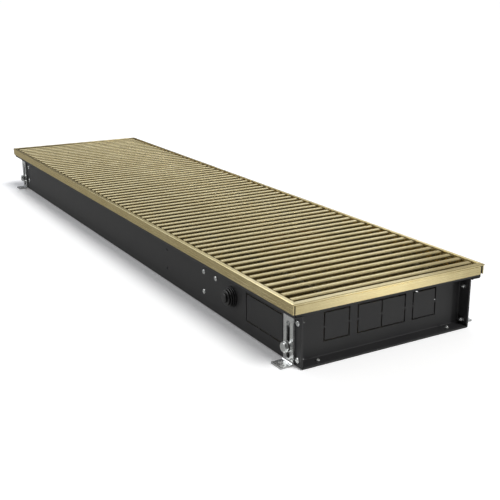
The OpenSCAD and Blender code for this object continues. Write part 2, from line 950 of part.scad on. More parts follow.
// Sleeves between slat i - 1 and slat i
module sleeves(i) {
    for (s = [-1, 1])
        translate([s * spring_x, slat_y(i) - web_t / 2 - fit / 2, spring_z])
            difference() {
                rod_y(-sleeve_l, 0, sleeve_d);
                rod_y(-sleeve_l - 1, 1, spring_d + fit);
            }
}
module grille_slats() {
    for (i = [roll_n:slat_n - 1])
        slat(i);
}
module grille_springs() {
    color("#8d8f90")
        spring_run(slat_y(roll_n - 1) + web_t / 2 + roll_play, slat_y(slat_n - 1) + web_t / 2 + 2);
}
module grille_sleeves() {
    color("#3a3a38")
        for (i = [roll_n:slat_n - 1])
            sleeves(i);
}
module spring_stops() {
    color(zinc)
        for (s = [-1, 1])
            translate([s * spring_x, slat_y(slat_n - 1) + web_t / 2 + fit, spring_z])
                difference() {
                    rod_y(0, 3.4, 7);
                    rod_y(-1, 2, spring_d + fit);
                }
}
// The slats nearest the connections, hinged one by one. Slat 1 is the first from the end.
module roll_slat(k) {
    if (k <= roll_n)
        slat(k - 1);
}
module roll_link(k) {
    y1 = slat_y(k - 1) + web_t / 2;
    if (k <= roll_n)
        color("#5d5e5c")
            if (k == 1) {
                spring_run(y1 - web_t - 2, y1);
                for (s = [-1, 1])
                    translate([s * spring_x, y1 - web_t - fit, spring_z])
                        difference() {
                            rod_y(-3.4, 0, 7);
                            rod_y(-2, 1, spring_d + fit);
                        }
            } else {
                spring_run(slat_y(k - 2) + web_t / 2 + roll_play, y1);
                sleeves(k - 1);
            }
}

trough();
end_panel();  // end_panel_near
at_far() end_panel();  // end_panel_far
end_panel_rivets();
bracket_rivets();
frame_side();  // frame_side_left
at_far() frame_side();  // frame_side_right
frame_end();  // frame_end_near
at_far() frame_end();  // frame_end_far
corner_keys();
seat_strips();
foot();  // foot_near_left
mirror([1, 0, 0]) foot();  // foot_near_right
mirror([0, 1, 0]) foot();  // foot_far_left
at_far() foot();  // foot_far_right
foot_bolts();
foot_washers();
spring_washers();
wall_inserts();
cable_grommet();
terminal_bracket();
terminal_block();
terminal_screws();
exchanger_tubes();
return_bends();
exchanger_fins();
tube_bushes();
union_fitting(1);  // flow_union
union_fitting(-1);  // return_union
air_vent_body();
air_vent_screw();
bracket(near_plate);  // exchanger_bracket_near
bracket(far_plate);  // exchanger_bracket_far
air_baffle();
grille_slats();
grille_springs();
grille_sleeves();
spring_stops();
roll_slat(1);  // slat_1
roll_slat(2);  // slat_2
roll_slat(3);  // slat_3
roll_slat(4);  // slat_4
roll_slat(5);  // slat_5
roll_slat(6);  // slat_6
roll_link(1);  // link_1
roll_link(2);  // link_2
roll_link(3);  // link_3
roll_link(4);  // link_4
roll_link(5);  // link_5
roll_link(6);  // link_6
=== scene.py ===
import json
import math

import bmesh
import bpy
from mathutils import Matrix, Quaternion, Vector


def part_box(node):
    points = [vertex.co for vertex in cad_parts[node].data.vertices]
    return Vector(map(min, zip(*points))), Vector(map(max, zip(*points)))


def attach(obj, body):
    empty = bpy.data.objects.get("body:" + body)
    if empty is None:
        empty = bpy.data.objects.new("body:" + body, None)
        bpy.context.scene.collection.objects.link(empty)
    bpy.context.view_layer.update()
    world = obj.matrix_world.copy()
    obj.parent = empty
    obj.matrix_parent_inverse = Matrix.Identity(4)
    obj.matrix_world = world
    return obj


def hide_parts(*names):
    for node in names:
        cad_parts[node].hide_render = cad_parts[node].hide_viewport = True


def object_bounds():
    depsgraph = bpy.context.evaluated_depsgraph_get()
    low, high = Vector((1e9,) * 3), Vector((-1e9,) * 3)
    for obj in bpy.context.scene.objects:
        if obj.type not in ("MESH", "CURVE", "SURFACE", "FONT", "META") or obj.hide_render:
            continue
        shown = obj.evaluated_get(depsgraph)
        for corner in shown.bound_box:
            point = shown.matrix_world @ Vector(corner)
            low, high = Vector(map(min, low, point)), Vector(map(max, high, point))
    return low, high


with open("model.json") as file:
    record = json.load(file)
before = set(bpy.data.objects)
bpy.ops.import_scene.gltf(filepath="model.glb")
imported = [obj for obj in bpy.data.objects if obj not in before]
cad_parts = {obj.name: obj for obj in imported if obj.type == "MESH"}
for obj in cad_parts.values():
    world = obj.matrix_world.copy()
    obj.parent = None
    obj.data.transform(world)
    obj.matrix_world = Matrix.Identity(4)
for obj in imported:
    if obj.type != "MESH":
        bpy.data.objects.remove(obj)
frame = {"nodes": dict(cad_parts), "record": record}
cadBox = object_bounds()
nodes = frame["nodes"]
mm = 0.001
print("frame loaded:", len(nodes), "CAD nodes")


# Small helpers

def linear(hexColour):
    parts = [int(hexColour[i:i + 2], 16) / 255 for i in (1, 3, 5)]
    channels = [c / 12.92 if c <= 0.04045 else ((c + 0.055) / 1.055) ** 2.4 for c in parts]
    return (*channels, 1.0)


# Adds a node. A key that names an input, or its number, sets that input; any other key sets the node itself.
def addNode(tree, kind, settings=None, links=None):
    item = tree.nodes.new(kind)
    for key, value in (settings or {}).items():
        if isinstance(key, str) and key not in item.inputs:
            setattr(item, key, value)
    for key, value in (settings or {}).items():
        if isinstance(key, int) or key in item.inputs:
            item.inputs[key].default_value = value
    for key, source in (links or {}).items():
        tree.links.new(source, item.inputs[key])
    return item


def centreOf(nodeName):
    low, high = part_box(nodeName)
    return (low + high) / 2


def meshObject(name, bm, smoothAngle=None):
    mesh = bpy.data.meshes.new(name)
    bm.normal_update()
    bm.to_mesh(mesh)
    bm.free()
    if smoothAngle is not None:
        mesh.shade_smooth()
        mesh.set_sharp_from_angle(angle=math.radians(smoothAngle))
    item = bpy.data.objects.new(name, mesh)
    bpy.context.scene.collection.objects.link(item)
    return item


# Points on a rounded corner, from the way in to the way out
def roundCorner(before, corner, after, radius, steps):
    a = (Vector(before) - Vector(corner)).normalized()
    b = (Vector(after) - Vector(corner)).normalized()
    reach = radius / math.tan(a.angle(b) / 2)
    start = Vector(corner) + a * reach
    end = Vector(corner) + b * reach
    points = []
    for i in range(steps + 1):
        t = i / steps
        points.append(start * (1 - t) ** 2 + Vector(corner) * 2 * t * (1 - t) + end * t ** 2)
    return points


# A closed outline with some corners rounded: each entry is (x, y) or (x, y, radius)
def roundedOutline(entries, steps):
    points = []
    for i, entry in enumerate(entries):
        if len(entry) == 2:
            points.append(Vector(entry))
            continue
        before = entries[i - 1][:2]
        after = entries[(i + 1) % len(entries)][:2]
        points += roundCorner(before, entry[:2], after, entry[2], steps)
    return points


smoothAngles = {"turned": 35, "slats": 40}
samePoint = 1e-7


# A turned shape round +Z from (radius, height) points that start and end on the axis
def turned(name, profile, steps):
    bm = bmesh.new()
    turns = [2 * math.pi * k / steps for k in range(steps)]
    rings = []
    for radius, height in profile:
        if radius < samePoint:
            rings.append([bm.verts.new((0, 0, height))])
        else:
            rings.append([bm.verts.new((radius * math.cos(a), radius * math.sin(a), height)) for a in turns])
    for a, b in zip(rings, rings[1:]):
        for k in range(steps):
            corners = [a[k % len(a)], a[(k + 1) % len(a)], b[(k + 1) % len(b)], b[k % len(b)]]
            unique = list(dict.fromkeys(corners))
            if len(unique) > 2:
                bm.faces.new(unique)
    bmesh.ops.recalc_face_normals(bm, faces=bm.faces)
    return meshObject(name, bm, smoothAngles["turned"])


# Materials

def startMaterial(name):
    material = bpy.data.materials.new(name)
    material.use_nodes = True
    material.node_tree.nodes.clear()
    return material, material.node_tree


def finishMaterial(tree, settings, links):
    shader = addNode(tree, "ShaderNodeBsdfPrincipled", settings, links)
    addNode(tree, "ShaderNodeOutputMaterial", None, {"Surface": shader.outputs["BSDF"]})


# Object coordinates in millimetres, squeezed along the way the metal was drawn or rolled
def objectMillimetres(tree, stretch=(1, 1, 1)):
    place = addNode(tree, "ShaderNodeTexCoord")
    scale = tuple(1000 / s for s in stretch)
    spots = addNode(tree, "ShaderNodeMapping", {"Scale": scale}, {"Vector": place.outputs["Object"]})
    return spots.outputs["Vector"]


# Noise with lumps of the given size
def noise(tree, spots, lumpMm, detail, roughness=0.5):
    settings = {"Scale": 1 / lumpMm, "Detail": detail, "Roughness": roughness}
    return addNode(tree, "ShaderNodeTexNoise", settings, {"Vector": spots}).outputs["Fac"]


def bumpFrom(tree, height, strength, depthMm):
    settings = {"Strength": strength, "Distance": depthMm * mm}
    return addNode(tree, "ShaderNodeBump", settings, {"Height": height}).outputs["Normal"]


def rampBetween(tree, source, low, high, start=0.3, end=0.7):
    ramp = addNode(tree, "ShaderNodeValToRGB", None, {"Fac": source})
    ramp.color_ramp.elements[0].position = start
    ramp.color_ramp.elements[0].color = low
    ramp.color_ramp.elements[1].position = end
    ramp.color_ramp.elements[1].color = high
    return ramp.outputs["Color"]


def rangeBetween(tree, source, low, high):
    return addNode(tree, "ShaderNodeMapRange", {"To Min": low, "To Max": high},
                   {"Value": source}).outputs["Result"]


goldLook = {
    "paler": "#d3c598",
    "deeper": "#c3b383",
    "grazing": "#f4e8c8",
    "frameRoughness": (0.25, 0.29),
    "slatRoughness": (0.22, 0.26),
    "frameMetal": 1.0,
    "slatMetal": 0.9,
    "anisotropy": 0.85,
    "anisotropyTurn": 0.25,
    "coat": 0.3,
    "coatRoughness": 0.12,
    "streakMm": 0.7,
    "streakLengthMm": 60,
    "cloudMm": 35,
    "cloudShare": 0.6,  # of the colour's change; the die lines make the rest
    "blend": (0.35, 0.65),
    "lineBump": 0.05,
    "lineDepthMm": 0.02,
}


# Aluminium extrusion, satin etched and anodised light gold: fine die lines run along each bar and
# draw its reflections out across them, and the clear oxide layer puts a pale sheen over the metal
def goldAnodised(name, along, roughnessRange, metal):
    material, tree = startMaterial(name)
    stretch = [goldLook["streakMm"]] * 3
    stretch[along] = goldLook["streakLengthMm"]
    dieLines = noise(tree, objectMillimetres(tree, stretch), 1, 3, 0.6)
    clouds = noise(tree, objectMillimetres(tree), goldLook["cloudMm"], 2)
    lineTone = addNode(tree, "ShaderNodeMath", {"operation": "MULTIPLY", 1: 1 - goldLook["cloudShare"]},
                       {0: dieLines})
    tone = addNode(tree, "ShaderNodeMath", {"operation": "MULTIPLY_ADD", 1: goldLook["cloudShare"]},
                   {0: clouds, 2: lineTone.outputs["Value"]})
    colour = rampBetween(tree, tone.outputs["Value"], linear(goldLook["deeper"]), linear(goldLook["paler"]),
                         *goldLook["blend"])
    roughness = rangeBetween(tree, dieLines, *roughnessRange)
    bump = bumpFrom(tree, dieLines, goldLook["lineBump"], goldLook["lineDepthMm"])
    barLine = [0, 0, 0]
    barLine[along] = 1
    tangent = addNode(tree, "ShaderNodeCombineXYZ", {"X": barLine[0], "Y": barLine[1], "Z": barLine[2]})
    finishMaterial(tree, {"Metallic": metal, "Anisotropic": goldLook["anisotropy"],
                          "Anisotropic Rotation": goldLook["anisotropyTurn"],
                          "Specular Tint": linear(goldLook["grazing"]), "Coat Weight": goldLook["coat"],
                          "Coat Roughness": goldLook["coatRoughness"]},
                   {"Base Color": colour, "Roughness": roughness, "Normal": bump,
                    "Tangent": tangent.outputs["Vector"]})
    return material


blackLook = {
    "colour": "#232324",
    "worn": "#282828",
    "roughness": (0.46, 0.54),
    "specular": 0.4,
    "filmMm": 40,
    "peelMm": 1.6,
    "peelBump": 0.25,
    "peelDepthMm": 0.03,
}


# Sheet steel with a satin black polyester powder coat: the baked film has a faint orange peel
def blackPowderCoat():
    material, tree = startMaterial("blackPowderCoat")
    spots = objectMillimetres(tree)
    peel = noise(tree, spots, blackLook["peelMm"], 2)
    film = noise(tree, spots, blackLook["filmMm"], 3)
    colour = rampBetween(tree, film, linear(blackLook["colour"]), linear(blackLook["worn"]))
    roughness = rangeBetween(tree, film, *blackLook["roughness"])
    bump = bumpFrom(tree, peel, blackLook["peelBump"], blackLook["peelDepthMm"])
    finishMaterial(tree, {"IOR": 1.5, "Specular IOR Level": blackLook["specular"]},
                   {"Base Color": colour, "Roughness": roughness, "Normal": bump})
    return material


zincLook = {
    "darker": "#b9bbbc",
    "lighter": "#d6d7d4",
    "roughness": (0.14, 0.24),
    "metal": 0.85,
    "cloudMm": 5,
    "grainMm": 0.5,
    "grainBump": 0.08,
    "grainDepthMm": 0.02,
}


# Pressed steel, bright zinc plated with a clear blue-white passivation: slightly cloudy mirror
def zincPlated():
    material, tree = startMaterial("zincPlated")
    spots = objectMillimetres(tree)
    cloud = noise(tree, spots, zincLook["cloudMm"], 4, 0.6)
    grain = noise(tree, spots, zincLook["grainMm"], 2)
    colour = rampBetween(tree, cloud, linear(zincLook["darker"]), linear(zincLook["lighter"]))
    roughness = rangeBetween(tree, cloud, *zincLook["roughness"])
    bump = bumpFrom(tree, grain, zincLook["grainBump"], zincLook["grainDepthMm"])
    finishMaterial(tree, {"Metallic": zincLook["metal"]},
                   {"Base Color": colour, "Roughness": roughness, "Normal": bump})
    return material


galvanisedLook = {
    "darker": "#8f9497",
    "lighter": "#b2b6b8",
    "roughness": (0.32, 0.5),
    "crystalMm": 6,
    "blend": (0.1, 0.9),
}


# Hot-dip galvanised sheet: flat crystals of spangle, each with its own grey
def galvanisedSheet():
    material, tree = startMaterial("galvanisedSheet")
    crystals = addNode(tree, "ShaderNodeTexVoronoi", {"Scale": 1 / galvanisedLook["crystalMm"]},
                       {"Vector": objectMillimetres(tree)})
    tone = addNode(tree, "ShaderNodeSeparateColor", None, {"Color": crystals.outputs["Color"]})
    colour = rampBetween(tree, tone.outputs["Red"], linear(galvanisedLook["darker"]),
                         linear(galvanisedLook["lighter"]), *galvanisedLook["blend"])
    roughness = rangeBetween(tree, tone.outputs["Green"], *galvanisedLook["roughness"])
    finishMaterial(tree, {"Metallic": 1.0}, {"Base Color": colour, "Roughness": roughness})
    return material


# A bare drawn or rolled metal: clouds or lines of the given size along X, Y and Z
def streakedMetal(name, darker, lighter, roughnessRange, streakMm, detail, noiseRoughness):
    material, tree = startMaterial(name)
    streaks = noise(tree, objectMillimetres(tree, streakMm), 1, detail, noiseRoughness)
    colour = rampBetween(tree, streaks, linear(darker), linear(lighter))
    roughness = rangeBetween(tree, streaks, *roughnessRange)
    finishMaterial(tree, {"Metallic": 1.0}, {"Base Color": colour, "Roughness": roughness})
    return material


brassLook = {
    "darker": "#9c8046",
    "lighter": "#cfb36c",
    "roughness": 0.3,
    "brownMm": 7,
    "ringMm": 0.6,
    "ringWaver": 0.6,
    "ringBump": 0.15,
    "ringDepthMm": 0.02,
}


# Turned brass bar, bare: rings left by the tool, and a little browning
def turnedBrass():
    material, tree = startMaterial("turnedBrass")
    spots = objectMillimetres(tree)
    ringSettings = {"bands_direction": "Y", "Scale": 1 / brassLook["ringMm"],
                    "Distortion": brassLook["ringWaver"]}
    rings = addNode(tree, "ShaderNodeTexWave", ringSettings, {"Vector": spots})
    brown = noise(tree, spots, brassLook["brownMm"], 4)
    colour = rampBetween(tree, brown, linear(brassLook["darker"]), linear(brassLook["lighter"]))
    bump = bumpFrom(tree, rings.outputs["Fac"], brassLook["ringBump"], brassLook["ringDepthMm"])
    finishMaterial(tree, {"Metallic": 1.0, "Roughness": brassLook["roughness"]},
                   {"Base Color": colour, "Normal": bump})
    return material


oilLook = {"oilMm": 3, "smoother": 0.06, "rougher": 0.08}


# Spring wire and blackened spring steel: darker, oiled, slightly uneven
def springSteel(name, darker, lighter, roughness):
    material, tree = startMaterial(name)
    oil = noise(tree, objectMillimetres(tree), oilLook["oilMm"], 3)
    colour = rampBetween(tree, oil, linear(darker), linear(lighter))
    rough = rangeBetween(tree, oil, roughness - oilLook["smoother"], roughness + oilLook["rougher"])
    finishMaterial(tree, {"Metallic": 1.0}, {"Base Color": colour, "Roughness": rough})
    return material


dustLook = {"dustMm": 9, "blend": (0.45, 0.8), "smoother": 0.05, "rougher": 0.1, "grainDepthMm": 0.05}


# Moulded rubber or plastic: an even body with a fine mould texture and a little dust
def moulded(name, colour, dusty, roughness, grainMm, grainBump):
    material, tree = startMaterial(name)
    spots = objectMillimetres(tree)
    grain = noise(tree, spots, grainMm, 2)
    dust = noise(tree, spots, dustLook["dustMm"], 4, 0.7)
    shade = rampBetween(tree, dust, linear(colour), linear(dusty), *dustLook["blend"])
    rough = rangeBetween(tree, dust, roughness - dustLook["smoother"], roughness + dustLook["rougher"])
    bump = bumpFrom(tree, grain, grainBump, dustLook["grainDepthMm"])
    finishMaterial(tree, {"IOR": 1.5}, {"Base Color": shade, "Roughness": rough, "Normal": bump})
    return material


slatGold = goldAnodised("goldAnodisedSlats", 0, goldLook["slatRoughness"], goldLook["slatMetal"])
sideGold = goldAnodised("goldAnodisedSides", 1, goldLook["frameRoughness"], goldLook["frameMetal"])
endGold = goldAnodised("goldAnodisedEnds", 0, goldLook["frameRoughness"], goldLook["frameMetal"])
powderBlack = blackPowderCoat()
zinc = zincPlated()
finish = {
    "black_sheet": powderBlack,
    "gold_frame": sideGold,
    "gold_slats": slatGold,
    "zinc": zinc,
    "black_steel": springSteel("blackenedSpringSteel", "#2a2928", "#4a4846", roughness=0.42),
    "galvanised": galvanisedSheet(),
    "spring_steel": springSteel("stainlessSpringWire", "#6f7072", "#8f9092", roughness=0.34),
    "sleeve_plastic": moulded("polyamideSleeves", "#29292a", "#3a3a39", roughness=0.5, grainMm=0.4,
                              grainBump=0.1),
    "black_rubber": moulded("blackRubber", "#0e0e0e", "#191919", roughness=0.34, grainMm=0.5, grainBump=0.1),
    "bush_rubber": moulded("redSiliconeRubber", "#7d2d22", "#8b4438", roughness=0.5, grainMm=0.5,
                           grainBump=0.1),
    # drawn copper tube, slightly oxidised: brown clouds along the drawing direction; the brown is also
    # darkened as painted shade, so that the tube reads dark through the side slots
    "copper": streakedMetal("drawnCopper", "#5e3a28", "#94603f", roughnessRange=(0.42, 0.24),
                            streakMm=(8, 50, 8), detail=4, noiseRoughness=0.65),
    # bare aluminium foil, rolled: bright, with faint lines from the rolls
    "fin_aluminium": streakedMetal("rolledFoil", "#b9bdc0", "#d6d9da", roughnessRange=(0.26, 0.4),
                                   streakMm=(30, 1, 0.6), detail=3, noiseRoughness=0.5),
    "brass": turnedBrass(),
    "terminal_plastic": moulded("mouldedTerminalPlastic", "#d4d1c6", "#bdb9ac", roughness=0.42, grainMm=0.4,
                                grainBump=0.08),
}
for part in frame["record"]["subparts"]:
    mesh = nodes[part["node"]].data
    mesh.materials.clear()
    mesh.materials.append(finish[part["material_slot"]])
for name in ("frame_end_near", "frame_end_far"):
    nodes[name].data.materials[0] = endGold
print("materials:", len(bpy.data.materials))


# Geometry Nodes: starts a tree with named inputs, and runs one on a mesh to give a plain mesh

def startTree(name, inputs):
    tree = bpy.data.node_groups.new(name, "GeometryNodeTree")
    tree.interface.new_socket("Geometry", in_out="INPUT", socket_type="NodeSocketGeometry")
    for label, (kind, value) in inputs.items():
        socket = tree.interface.new_socket(label, in_out="INPUT", socket_type="NodeSocket" + kind)
        if value is not None:
            socket.default_value = value
    tree.interface.new_socket("Geometry", in_out="OUTPUT", socket_type="NodeSocketGeometry")
    return tree, tree.nodes.new("NodeGroupInput")


def endTree(tree, geometry, material):
    real = addNode(tree, "GeometryNodeRealizeInstances", None, {"Geometry": geometry})
    coated = addNode(tree, "GeometryNodeSetMaterial", None,
                     {"Geometry": real.outputs["Geometry"], "Material": material})
    addNode(tree, "NodeGroupOutput", None, {"Geometry": coated.outputs["Geometry"]})
    return tree


def runTree(name, source, tree, values, smoothAngle):
    modifier = source.modifiers.new("build", "NODES")
    modifier.node_group = tree
    for item in tree.interface.items_tree:
        if item.in_out == "INPUT" and item.name in values:
            modifier[item.identifier] = values[item.name]
    graph = bpy.context.evaluated_depsgraph_get()
    mesh = bpy.data.meshes.new_from_object(source.evaluated_get(graph), depsgraph=graph)
    mesh.name = name
    mesh.shade_smooth()
    mesh.set_sharp_from_angle(angle=math.radians(smoothAngle))
    result = bpy.data.objects.new(name, mesh)
    bpy.context.scene.collection.objects.link(result)
    bpy.data.objects.remove(source)
    return result


def pointsObject(name, places, aims):
    mesh = bpy.data.meshes.new(name)
    mesh.from_pydata([tuple(p) for p in places], [], [])
    attribute = mesh.attributes.new("aim", "FLOAT_VECTOR", "POINT")
    for i, aim in enumerate(aims):
        attribute.data[i].vector = aim
    item = bpy.data.objects.new(name, mesh)
    bpy.context.scene.collection.objects.link(item)
    return item


# Roll-up grille

slats = {
    "crownRadius": 9 * mm,
    "crownSteps": 12,
    "capHeight": 2.6 * mm,
    "undercut": 0.2 * mm,
    "edgeRadius": 0.2 * mm,
    "webThickness": 2.2 * mm,
    "beadWidth": 5 * mm,
    "beadHeight": 1.4 * mm,
    "smallRadius": 0.3 * mm,
    "cornerSteps": 2,
}


# The slat's outline as (y, z) from the middle of its top
def slatOutline(width, height):
    half = width / 2
    radius = slats["crownRadius"]
    sag = radius - math.sqrt(radius ** 2 - half ** 2)
    steps = slats["crownSteps"]
    crown = []
    for i in range(1, steps):
        y = half * (1 - 2 * i / steps)
        crown.append((y, math.sqrt(radius ** 2 - y ** 2) - radius))
    small = slats["smallRadius"]
    capFoot = half - slats["undercut"]
    capLow = -slats["capHeight"]
    web = slats["webThickness"] / 2
    bead = slats["beadWidth"] / 2
    beadTop = slats["beadHeight"] - height
    near = [(-half, -sag, slats["edgeRadius"]), (-capFoot, capLow, small), (-web, capLow, small),
            (-web, beadTop, small), (-bead, beadTop, small), (-bead, -height, small)]
    far = [(-y, z, corner) for y, z, corner in reversed(near)]
    return roundedOutline(far[-1:] + crown + near + far[:-1], slats["cornerSteps"])


# A row of slats: the outline, drawn as a mesh of edges, is swept along X and repeated along Y
def slatRowTree():
    tree, given = startTree("slatRow", {"Count": ("Int", 1), "Pitch": ("Float", 0), "Length": ("Float", 0),
                                        "First": ("Vector", (0, 0, 0)), "Material": ("Material", None)})
    outline = addNode(tree, "GeometryNodeMeshToCurve", None, {"Mesh": given.outputs["Geometry"]})
    half = addNode(tree, "ShaderNodeMath", {"operation": "MULTIPLY", 1: 0.5}, {0: given.outputs["Length"]})
    ahead = addNode(tree, "ShaderNodeCombineXYZ", None, {"X": half.outputs["Value"]})
    behind = addNode(tree, "ShaderNodeVectorMath", {"operation": "SCALE", "Scale": -1.0},
                     {0: ahead.outputs["Vector"]})
    path = addNode(tree, "GeometryNodeCurvePrimitiveLine", None,
                   {"Start": behind.outputs["Vector"], "End": ahead.outputs["Vector"]})
    bar = addNode(tree, "GeometryNodeCurveToMesh", {"Fill Caps": True},
                  {"Curve": path.outputs["Curve"], "Profile Curve": outline.outputs["Curve"]})
    step = addNode(tree, "ShaderNodeCombineXYZ", None, {"Y": given.outputs["Pitch"]})
    row = addNode(tree, "GeometryNodeMeshLine", {"mode": "OFFSET"},
                  {"Count": given.outputs["Count"], "Start Location": given.outputs["First"],
                   "Offset": step.outputs["Vector"]})
    placed = addNode(tree, "GeometryNodeInstanceOnPoints", None,
                     {"Points": row.outputs["Mesh"], "Instance": bar.outputs["Mesh"]})
    return endTree(tree, placed.outputs["Instances"], given.outputs["Material"])


def sectionObject(points):
    bm = bmesh.new()
    # the sweep turns the outline's Y downwards
    corners = [bm.verts.new((p[0], -p[1], 0)) for p in points]
    for a, b in zip(corners, corners[1:] + corners[:1]):
        bm.edges.new((a, b))
    return meshObject("slatSection", bm)


def outwards(item):
    bm = bmesh.new()
    bm.from_mesh(item.data)
    bmesh.ops.remove_doubles(bm, verts=bm.verts, dist=samePoint)
    bmesh.ops.recalc_face_normals(bm, faces=bm.faces)
    bm.to_mesh(item.data)
    bm.free()
    return item


slatRow = slatRowTree()
firstLow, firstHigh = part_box("slat_1")
pitch = centreOf("slat_2").y - centreOf("slat_1").y
slatWidth = firstHigh.y - firstLow.y
slatHeight = firstHigh.z - firstLow.z
slatSection = slatOutline(slatWidth, slatHeight)


def makeSlats(name, cadNode, body):
    low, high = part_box(cadNode)
    count = round((high.y - low.y - slatWidth) / pitch) + 1
    step = (high.y - low.y - slatWidth) / (count - 1) if count > 1 else pitch
    values = {"Count": count, "Pitch": step, "Length": high.x - low.x,
              "First": (0, low.y + slatWidth / 2, high.z), "Material": slatGold}
    row = outwards(runTree(name, sectionObject(slatSection), slatRow, values, smoothAngles["slats"]))
    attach(row, body)
    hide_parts(cadNode)


makeSlats("grilleSlats", "grille_slats", "grille")
for k in range(1, 7):
    makeSlats(f"rollSlat{k}", f"slat_{k}", f"roll_{k}")
print("slats made")


# Blind rivets: domed head with the hole its mandrel left

rivets = {
    "headRadius": 3.2 * mm,
    "headHeight": 1.35 * mm,
    # the head's outline, as shares of its height and radius
    "domeLow": 0.16,
    "domeRise": 0.8,
    "domeSteps": 8,
    "rimHeight": 0.12,
    "footRadius": 0.97,
    "holeRadius": 0.95 * mm,
    "holeDepth": 0.9 * mm,
    # the hole's outline: its mouth as a share of the head's height, its floor as shares of its own size
    "holeMouth": 0.93,
    "holeFloorRadius": 0.8,
    "holeWallDepth": 0.7,
    "shankRadius": 1.6 * mm,
    "flatHeadRadius": 0.9,  # the share of the shank that lies flat, inside a chamfer
    "flatHeadChamfer": 0.1 * mm,
    "bulgeRadius": 2.2 * mm,
    "shoulderRadius": 0.92,
    "shoulderHeight": 0.3 * mm,
    # the tail's round end: shares of the bulge's radius, and how far each stands off the end
    "tailEnd": [(1, 0.9 * mm), (0.93, 0.45 * mm), (0.75, 0.12 * mm)],
    "sideTail": 4.8 * mm,
    "floorTail": 2.6 * mm,
    "bracketTail": 2.7 * mm,
    "nailRadius": 0.7,  # share of the shank
    "nailLength": 0.8 * mm,
    "endRow": 12.2 * mm,
    "lowRow": 7.9 * mm,
    "highRow": 47.8 * mm,
    "bracketRows": (18.5 * mm, 43.5 * mm),
    "nearBracket": 216 * mm,
    "farBracket": 49 * mm,
    "carrier": 186 * mm,
    "floorInset": 25 * mm,
    "steps": 24,
}


# The head's outline, from the middle of its top to the shank
def headOutline(domed):
    r, h = rivets["headRadius"], rivets["headHeight"]
    hole, deep = rivets["holeRadius"], rivets["holeDepth"]
    shank = rivets["shankRadius"]
    if not domed:
        return [(0, 0), (shank * rivets["flatHeadRadius"], 0), (shank, -rivets["flatHeadChamfer"])]
    outline = [(0, h - deep), (hole * rivets["holeFloorRadius"], h - deep),
               (hole, h - deep * rivets["holeWallDepth"]), (hole, h * rivets["holeMouth"])]
    for i in range(1, rivets["domeSteps"]):
        a = math.pi / 2 * i / rivets["domeSteps"]
        height = h * (rivets["domeLow"] + rivets["domeRise"] * math.cos(a))
        outline.append((hole + (r - hole) * math.sin(a), height))
    return outline + [(r, h * rivets["rimHeight"]), (r * rivets["footRadius"], 0), (shank, 0)]


# Head and tail round +Z, with the sheets between the two; a flat head ends level with the sheet
def rivetShape(grip, tailLength, domed=True):
    shank, bulge = rivets["shankRadius"], rivets["bulgeRadius"]
    nail = shank * rivets["nailRadius"]
    tip = -grip - tailLength
    tailLow = tip + rivets["nailLength"]
    profile = headOutline(domed) + [(shank, -grip), (bulge * rivets["shoulderRadius"], -grip),
                                    (bulge, -grip - rivets["shoulderHeight"])]
    profile += [(bulge * share, tailLow + off) for share, off in rivets["tailEnd"]]
    profile += [(nail, tailLow), (nail, tip), (0, tip)]
    return turned("rivetShape", profile, rivets["steps"])


# Copies of one shape on points, each turned so that its +Z follows the point's aim
def copiesTree():
    tree, given = startTree("copiesOnPoints", {"Shape": ("Object", None), "Material": ("Material", None)})
    shape = addNode(tree, "GeometryNodeObjectInfo", {"As Instance": True}, {"Object": given.outputs["Shape"]})
    aim = addNode(tree, "GeometryNodeInputNamedAttribute", {"data_type": "FLOAT_VECTOR", "Name": "aim"})
    turn = addNode(tree, "FunctionNodeAlignRotationToVector", {"axis": "Z"},
                   {"Vector": aim.outputs["Attribute"]})
    placed = addNode(tree, "GeometryNodeInstanceOnPoints", None,
                     {"Points": given.outputs["Geometry"], "Instance": shape.outputs["Geometry"],
                      "Rotation": turn.outputs["Rotation"]})
    return endTree(tree, placed.outputs["Instances"], given.outputs["Material"])


copiesOnPoints = copiesTree()


def makeCopies(name, shape, places, aims, replaced=()):
    row = runTree(name, pointsObject(name + "Points", places, aims), copiesOnPoints,
                  {"Shape": shape, "Material": zinc}, smoothAngles["turned"])
    bpy.data.objects.remove(shape)
    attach(row, "casing")
    if replaced:
        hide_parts(*replaced)
    return row


# Thicknesses: the trough's sheet, the exchanger brackets' sheet, and the flanges that stand off the walls
sheets = {"trough": 1 * mm, "bracket": 1.2 * mm, "insertFlange": 0.5 * mm}
halfLength = cadBox[1].y
wallX = -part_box("wall_inserts")[0].x - sheets["insertFlange"]


def sideRivets():
    places, aims = [], []
    for side in (-1, 1):
        for end in (-1, 1):
            for z in (rivets["lowRow"], rivets["highRow"]):
                places.append((side * wallX, end * (halfLength - rivets["endRow"]), z))
                aims.append((side, 0, 0))
    return places, aims


def bracketRivets():
    places, aims = [], []
    for side in (-1, 1):
        for y in (-halfLength + rivets["nearBracket"], halfLength - rivets["farBracket"]):
            for z in rivets["bracketRows"]:
                places.append((side * wallX, y, z))
                aims.append((side, 0, 0))
    places.append((-wallX, -halfLength + rivets["carrier"], rivets["bracketRows"][1]))
    aims.append((-1, 0, 0))
    return places, aims


# The floor's rivets have flat heads, level with the underside
def floorRivets():
    places, aims = [], []
    for side in (-1, 1):
        for end in (-1, 1):
            places.append((side * (wallX - rivets["floorInset"]), end * (halfLength - rivets["endRow"]), 0))
            aims.append((0, 0, -1))
    return places, aims


def joinInto(first, second):
    bm = bmesh.new()
    bm.from_mesh(first.data)
    bm.from_mesh(second.data)
    bm.to_mesh(first.data)
    bm.free()
    bpy.data.objects.remove(second)


